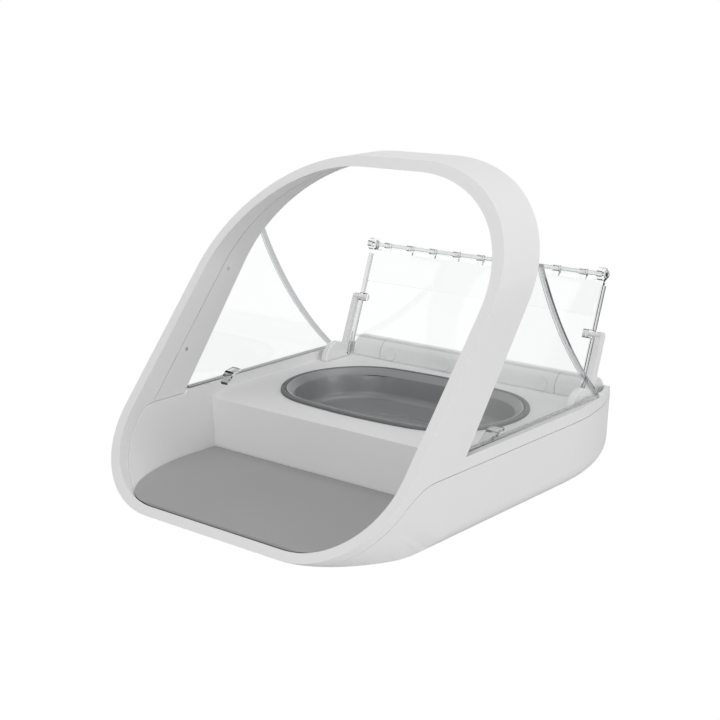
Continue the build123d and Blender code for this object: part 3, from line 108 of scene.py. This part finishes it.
def clear(name, colour, roughness=0.03, ior=1.47, edge=0.45):
    """Clear moulded plastic that lets lamp light through, with faint flow marks.

    Where it is seen edge on, its colour falls to `edge` of the full one, a painted shade along the edges.
    """
    material, tree = new_material(name)
    link = tree.links.new
    where = node(tree, "ShaderNodeTexCoord")
    flow = node(tree, "ShaderNodeTexNoise", Scale=9.0, Detail=2.0, Roughness=0.4)
    link(where.outputs["Object"], flow.inputs["Vector"])
    bump = node(tree, "ShaderNodeBump", Strength=0.05, Distance=FLOW_DEPTH)
    link(flow.outputs["Fac"], bump.inputs["Height"])
    glass = node(tree, "ShaderNodeBsdfPrincipled")
    # painted shade: the colour darkens where the plastic is seen edge on
    turned = node(tree, "ShaderNodeLayerWeight", Blend=0.5)
    fall = node(tree, "ShaderNodeMapRange", interpolation_type="SMOOTHSTEP")
    fall.inputs["From Min"].default_value = EDGE_SHADE_FROM
    link(turned.outputs["Facing"], fall.inputs["Value"])
    tint = node(tree, "ShaderNodeMix", data_type="RGBA")
    tint.inputs["A"].default_value = colour + (1.0,)
    tint.inputs["B"].default_value = tuple(edge * c for c in colour) + (1.0,)
    link(fall.outputs["Result"], tint.inputs["Factor"])
    link(tint.outputs["Result"], glass.inputs["Base Color"])
    glass.inputs["Roughness"].default_value = roughness
    glass.inputs["IOR"].default_value = ior
    glass.inputs["Transmission Weight"].default_value = 1.0
    link(bump.outputs["Normal"], glass.inputs["Normal"])
    passing = node(tree, "ShaderNodeBsdfTransparent")
    passing.inputs["Color"].default_value = (0.97, 0.975, 0.975, 1.0)
    ray = node(tree, "ShaderNodeLightPath")
    either = node(tree, "ShaderNodeMath", operation="MAXIMUM")
    link(ray.outputs["Is Shadow Ray"], either.inputs[0])
    link(ray.outputs["Is Diffuse Ray"], either.inputs[1])
    mix = node(tree, "ShaderNodeMixShader")
    link(either.outputs[0], mix.inputs["Fac"])
    link(glass.outputs["BSDF"], mix.inputs[1])
    link(passing.outputs["BSDF"], mix.inputs[2])
    out = node(tree, "ShaderNodeOutputMaterial")
    link(mix.outputs["Shader"], out.inputs["Surface"])
    return material


def metal(name, colour, roughness=0.3, brushed=0.25):
    """Plated or turned metal with a fine brushed variation."""
    material, tree = new_material(name)
    link = tree.links.new
    where = node(tree, "ShaderNodeTexCoord")
    stretch = node(tree, "ShaderNodeMapping")
    stretch.inputs["Scale"].default_value = BRUSH_SCALE
    brush = node(tree, "ShaderNodeTexNoise", Scale=1.0, Detail=3.0, Roughness=0.6)
    link(where.outputs["Object"], stretch.inputs["Vector"])
    link(stretch.outputs["Vector"], brush.inputs["Vector"])
    gloss = node(tree, "ShaderNodeMapRange")
    gloss.inputs["To Min"].default_value = roughness - 0.08
    gloss.inputs["To Max"].default_value = roughness + 0.12
    link(brush.outputs["Fac"], gloss.inputs["Value"])
    bump = node(tree, "ShaderNodeBump", Strength=brushed, Distance=BRUSH_DEPTH)
    link(brush.outputs["Fac"], bump.inputs["Height"])
    shader = node(tree, "ShaderNodeBsdfPrincipled")
    shader.inputs["Base Color"].default_value = colour + (1.0,)
    shader.inputs["Metallic"].default_value = 1.0
    link(gloss.outputs["Result"], shader.inputs["Roughness"])
    link(bump.outputs["Normal"], shader.inputs["Normal"])
    out = node(tree, "ShaderNodeOutputMaterial")
    link(shader.outputs["BSDF"], out.inputs["Surface"])
    return material


# ---------------------------------------------------------------- finishes
WHITE = (0.82, 0.82, 0.82)
white_shell = moulded("white_shell", WHITE, roughness=0.42)
white_base = moulded("white_base", WHITE, roughness=0.48)
white_deck = moulded("white_deck", WHITE, roughness=0.45)
white_lining = moulded("white_lining", (0.80, 0.80, 0.80), roughness=0.5)
white_small = moulded("white_small", WHITE, roughness=0.35)
grey_mat = moulded("grey_mat", (0.36, 0.36, 0.365), roughness=0.6, grain=0.35, grain_scale=1400.0)
grey_bowl = moulded("grey_bowl", (0.26, 0.265, 0.27), roughness=0.3, mottle=0.01, coat=0.1)
dark_seal = moulded("dark_seal", (0.12, 0.125, 0.13), roughness=0.5, grain=0.2)
clear_lid = clear("clear_lid", (0.985, 0.99, 0.99), edge=0.35)
clear_flap = clear("clear_flap", (0.99, 0.995, 0.995), ior=1.06, edge=0.95)
# painted shade: the wing beads and rims get a grey clear that stands in for the dark lines bent light
# draws along them
clear_bead = clear("clear_bead", (0.52, 0.53, 0.54), roughness=0.06, edge=0.12)
# painted shade: the ribs and flanges behind the lid panel get a grey clear for the dark lines bent light
# draws there
clear_strip = clear("clear_strip", (0.62, 0.63, 0.64), roughness=0.1, edge=0.3)
clear_wing = clear("clear_wing", (0.98, 0.985, 0.985), edge=0.3)
clear_rod = clear("clear_rod", (0.80, 0.81, 0.82), roughness=0.08, edge=0.3)
soft_button = moulded("soft_button", (0.42, 0.43, 0.44), roughness=0.6, grain=0.3)
lens = moulded("status_lens", (0.62, 0.66, 0.64), roughness=0.2)
board = moulded("board_mask", (0.02, 0.16, 0.06), roughness=0.35)
chips = moulded("chip_black", (0.02, 0.02, 0.022), roughness=0.5)
copper = metal("coil_copper", (0.80, 0.43, 0.24), roughness=0.3)
steel = metal("screw_steel", (0.62, 0.62, 0.63), roughness=0.3)
plated = metal("motor_plate", (0.52, 0.52, 0.53), roughness=0.35)
cell_sleeve = moulded("cell_sleeve", (0.06, 0.065, 0.07), roughness=0.3, coat=0.3)
foot_rubber = moulded("foot_rubber", (0.10, 0.10, 0.105), roughness=0.7, grain=0.4)
nylon = moulded("link_nylon", (0.72, 0.71, 0.67), roughness=0.45)

FINISH = {
    "arch_front_shell": white_shell, "arch_rear_cover": white_lining, "arch_screws": steel,
    "reader_coil": copper,
    "base_shell": white_base, "deck_housing": white_deck, "mat": grey_mat, "bowl": grey_bowl,
    "bowl_seal": dark_seal, "barrel_housing": white_small, "barrel_sleeve_left": white_small,
    "barrel_sleeve_right": white_small, "screw_caps": white_small, "lid_rear_panel": clear_lid,
    "lid_front_panel": clear_flap, "lid_hinge_rod": clear_rod, "lid_arm_left": white_small,
    "lid_arm_right": white_small, "arm_pins": white_small, "side_wing_left": clear_wing,
    "side_wing_right": clear_wing, "wing_clips": clear_rod, "button_left": soft_button,
    "button_middle": soft_button, "button_right": soft_button, "status_lens": lens, "control_board": board,
    "board_components": chips, "battery_cells": cell_sleeve, "battery_contacts": steel,
    "battery_door_left": white_base, "battery_door_right": white_base, "door_screws": steel,
    "rubber_feet": foot_rubber, "gear_motor": plated, "drive_shaft": steel, "link_rod": nylon,
    "housing_screws": steel,
}
for name, piece in frame["nodes"].items():
    piece.data.materials.clear()
    piece.data.materials.append(FINISH[name])

# ---------------------------------------------------------------- softened copies of the moulded shells
ROUNDED = {               # millimetres of rounding on each shell's hard edges
    "arch_front_shell": 0.9, "arch_rear_cover": 0.4, "base_shell": 0.5, "deck_housing": 0.8, "mat": 0.7,
    "bowl": 0.5, "bowl_seal": 0.5, "barrel_housing": 0.3, "lid_arm_left": 0.4, "lid_arm_right": 0.4,
}
WELD = 0.01 * MM
FLAT = math.radians(0.5)      # faces closer than this to one plane are joined
HARD_EDGE = math.radians(38)  # edges sharper than this are rounded over
SHARP_SHADE = math.radians(25)
BODIES = frame["record"]["behaviour"]["bodies"]
BODY_OF = {name: body for body, names in BODIES.items() for name in names}


def stand_in(name, mesh, ending):
    """Puts a piece with this mesh in the scene in the node's place, on the node's body."""
    mesh.name = name + ending
    piece = bpy.data.objects.new(name + ending, mesh)
    bpy.context.scene.collection.objects.link(piece)
    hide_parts(name)
    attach(piece, BODY_OF[name])
    return piece


def softened(name, width_mm):
    """A copy of a shell with its hard edges rounded over, standing for the node."""
    mesh = frame["nodes"][name].data.copy()
    work = bmesh.new()
    work.from_mesh(mesh)
    bmesh.ops.remove_doubles(work, verts=work.verts, dist=WELD)
    bmesh.ops.dissolve_limit(
        work, angle_limit=FLAT, verts=work.verts, edges=work.edges, use_dissolve_boundaries=False
    )
    work.to_mesh(mesh)
    work.free()
    for face in mesh.polygons:
        face.use_smooth = True
    mesh.set_sharp_from_angle(angle=SHARP_SHADE)
    piece = stand_in(name, mesh, "_soft")
    rounding = piece.modifiers.new("edge_round", "BEVEL")
    rounding.width = width_mm * MM
    rounding.segments = 3
    rounding.limit_method = "ANGLE"
    rounding.angle_limit = HARD_EDGE
    rounding.use_clamp_overlap = True
    rounding.miter_outer = "MITER_ARC"


for name, width in ROUNDED.items():
    softened(name, width)

# ---------------------------------------------------------------- clear pieces with beads and ribs in a darker clear, a painted shade
# places on the open lid and on the wings, in millimetres
LID_LEAN = math.radians(21.4)
HUB_Y, HUB_Z = 58.5, 41.5
PANEL_BACK = 7.0              # rear face of the lid panel behind the hub axis
PANEL_TOP = 80.5              # the knuckles start past this
WING_INNER, WING_OUTER = 109.0, 111.0
PROUD = 0.05                  # a face further out than this stands proud


def panel_strip(face):
    """True for the ribs and flanges behind the lid panel."""
    y, z = face.center.y / MM - HUB_Y, face.center.z / MM - HUB_Z
    along = y * math.sin(LID_LEAN) + z * math.cos(LID_LEAN)
    behind = y * math.cos(LID_LEAN) - z * math.sin(LID_LEAN)
    return behind > PANEL_BACK + PROUD and along < PANEL_TOP


def wing_bead(face):
    """True for the beads that stand proud of a wing's faces, and for its rims."""
    across = abs(face.center.x / MM)
    proud = across < WING_INNER - PROUD or across > WING_OUTER + PROUD
    return proud or abs(face.normal.x) < 0.5


def two_tone(name, second, chosen):
    """A copy of a clear node whose chosen faces carry a second material."""
    mesh = frame["nodes"][name].data.copy()
    mesh.materials.clear()
    mesh.materials.append(FINISH[name])
    mesh.materials.append(second)
    for face in mesh.polygons:
        face.material_index = 1 if chosen(face) else 0
    stand_in(name, mesh, "_toned")


two_tone("lid_rear_panel", clear_strip, panel_strip)
two_tone("side_wing_left", clear_bead, wing_bead)
two_tone("side_wing_right", clear_bead, wing_bead)

# ---------------------------------------------------------------- floor and backdrop
FLOOR_SHOWN_WHITE = 0.97      # share of the floor's look that is plain white
FLOOR_WHITE = 1.02
FLOOR_HALF = 4.0
FLOOR_DROP = 0.2 * MM         # the floor lies this far under the feet
FILL, BACKDROP_WHITE = 0.35, 1.0


def floor_material():
    """Pale floor that shows white to the camera and keeps a trace of the shadow."""
    material, tree = new_material("studio_floor")
    link = tree.links.new
    diffuse = node(tree, "ShaderNodeBsdfDiffuse")
    diffuse.inputs["Color"].default_value = (0.80, 0.80, 0.80, 1.0)
    white = node(tree, "ShaderNodeEmission")
    white.inputs["Color"].default_value = (1.0, 1.0, 1.0, 1.0)
    white.inputs["Strength"].default_value = FLOOR_WHITE
    ray = node(tree, "ShaderNodeLightPath")
    seen = node(tree, "ShaderNodeMath", operation="MAXIMUM")
    link(ray.outputs["Is Camera Ray"], seen.inputs[0])
    link(ray.outputs["Is Transmission Ray"], seen.inputs[1])
    keep = node(tree, "ShaderNodeMath", operation="MULTIPLY")
    keep.inputs[1].default_value = FLOOR_SHOWN_WHITE
    link(seen.outputs[0], keep.inputs[0])
    mix = node(tree, "ShaderNodeMixShader")
    link(keep.outputs[0], mix.inputs["Fac"])
    link(diffuse.outputs["BSDF"], mix.inputs[1])
    link(white.outputs["Emission"], mix.inputs[2])
    out = node(tree, "ShaderNodeOutputMaterial")
    link(mix.outputs["Shader"], out.inputs["Surface"])
    return material


def studio_floor():
    """A wide flat floor under the feeder."""
    mesh = bpy.data.meshes.new("studio_floor")
    work = bmesh.new()
    bmesh.ops.create_grid(work, x_segments=4, y_segments=4, size=FLOOR_HALF)
    bmesh.ops.translate(work, verts=work.verts, vec=(0.0, 0.0, -FLOOR_DROP))
    work.to_mesh(mesh)
    work.free()
    floor = bpy.data.objects.new("studio_floor", mesh)
    bpy.context.scene.collection.objects.link(floor)
    floor.data.materials.append(floor_material())


def studio_world():
    """A soft even fill, and a white backdrop for the camera, clear pieces and reflections."""
    world = bpy.data.worlds.new("studio_world")
    bpy.context.scene.world = world
    world.use_nodes = True
    tree = world.node_tree
    link = tree.links.new
    tree.nodes.clear()
    fill = node(tree, "ShaderNodeBackground")
    fill.inputs["Color"].default_value = (1.0, 1.0, 1.0, 1.0)
    fill.inputs["Strength"].default_value = FILL
    backing = node(tree, "ShaderNodeBackground")
    backing.inputs["Color"].default_value = (1.0, 1.0, 1.0, 1.0)
    backing.inputs["Strength"].default_value = BACKDROP_WHITE
    ray = node(tree, "ShaderNodeLightPath")
    seen = node(tree, "ShaderNodeMath", operation="MAXIMUM")
    seen_all = node(tree, "ShaderNodeMath", operation="MAXIMUM")
    mix = node(tree, "ShaderNodeMixShader")
    out = node(tree, "ShaderNodeOutputWorld")
    link(ray.outputs["Is Camera Ray"], seen.inputs[0])
    link(ray.outputs["Is Transmission Ray"], seen.inputs[1])
    link(seen.outputs[0], seen_all.inputs[0])
    link(ray.outputs["Is Glossy Ray"], seen_all.inputs[1])
    link(seen_all.outputs[0], mix.inputs["Fac"])
    link(fill.outputs["Background"], mix.inputs[1])
    link(backing.outputs["Background"], mix.inputs[2])
    link(mix.outputs["Shader"], out.inputs["Surface"])


studio_floor()
studio_world()


# ---------------------------------------------------------------- lamps
def soft_lamp(name, place, target, size, power):
    """A square soft box aimed at a point."""
    data = bpy.data.lights.new(name, "AREA")
    data.shape = "SQUARE"
    data.size = size
    data.energy = power
    lamp = bpy.data.objects.new(name, data)
    bpy.context.scene.collection.objects.link(lamp)
    lamp.visible_camera = False
    lamp.location = place
    aim = Vector(target) - Vector(place)
    lamp.rotation_euler = aim.to_track_quat("-Z", "Y").to_euler()


soft_lamp("overhead_box", (0.1, 0.1, 1.5), (0.0, 0.0, 0.05), 1.2, 8.0)
soft_lamp("front_box", (0.3, -1.6, 0.5), (0.0, 0.0, 0.08), 0.9, 6.5)
soft_lamp("side_box", (1.6, -0.1, 0.4), (0.0, 0.0, 0.08), 0.9, 8.0)


# ---------------------------------------------------------------- dark cards for the clear pieces
def dark_card(name, centre, facing, width, height):
    """A dark card that only rays bent by the clear pieces can see."""
    mesh = bpy.data.meshes.new(name)
    work = bmesh.new()
    bmesh.ops.create_grid(work, x_segments=1, y_segments=1, size=0.5)
    turn = Vector(facing).to_track_quat("Z", "Y").to_matrix().to_4x4()
    bmesh.ops.scale(work, verts=work.verts, vec=(width, height, 1.0))
    bmesh.ops.transform(work, verts=work.verts, matrix=Matrix.Translation(centre) @ turn)
    work.to_mesh(mesh)
    work.free()
    card = bpy.data.objects.new(name, mesh)
    bpy.context.scene.collection.objects.link(card)
    card.data.materials.append(card_black)
    card.visible_camera = False
    card.visible_diffuse = False
    card.visible_glossy = False
    card.visible_shadow = False
    card.visible_volume_scatter = False


card_black = moulded("card_black", (0.03, 0.03, 0.03), roughness=0.9)
dark_card("card_above", (0.0, 0.0, 1.0), (0.0, 0.0, -1.0), 3.0, 3.0)
dark_card("card_left", (-1.3, -0.3, 0.5), (1.0, 0.0, 0.0), 1.0, 1.6)
dark_card("card_right", (1.2, 0.6, 0.5), (-1.0, 0.0, 0.0), 1.0, 1.6)
dark_card("card_near", (0.3, -1.3, 0.5), (0.0, 1.0, 0.0), 2.4, 1.0)

# ---------------------------------------------------------------- camera
CAMERA_PLACE = Vector((0.5600, -0.6659, 0.2970))
YAW, PITCH, ROLL = 0.7214, 0.25655, -0.02013
LENS_MM = 72.06

ahead = Vector((-math.sin(YAW) * math.cos(PITCH), math.cos(YAW) * math.cos(PITCH), -math.sin(PITCH)))
level = Vector((math.cos(YAW), math.sin(YAW), 0.0))
up = level.cross(ahead)
right = level * math.cos(ROLL) + up * math.sin(ROLL)
up = up * math.cos(ROLL) - level * math.sin(ROLL)
camera_data = bpy.data.cameras.new("studio_camera")
camera_data.sensor_fit = "HORIZONTAL"
camera_data.sensor_width = 36.0
camera_data.lens = LENS_MM
camera_data.clip_start = 0.02
camera_data.clip_end = 20.0
camera = bpy.data.objects.new("studio_camera", camera_data)
bpy.context.scene.collection.objects.link(camera)
camera.matrix_world = Matrix((
    (right.x, up.x, -ahead.x, CAMERA_PLACE.x),
    (right.y, up.y, -ahead.y, CAMERA_PLACE.y),
    (right.z, up.z, -ahead.z, CAMERA_PLACE.z),
    (0.0, 0.0, 0.0, 1.0),
))
bpy.context.scene.camera = camera
bpy.context.scene.view_settings.view_transform = "Standard"
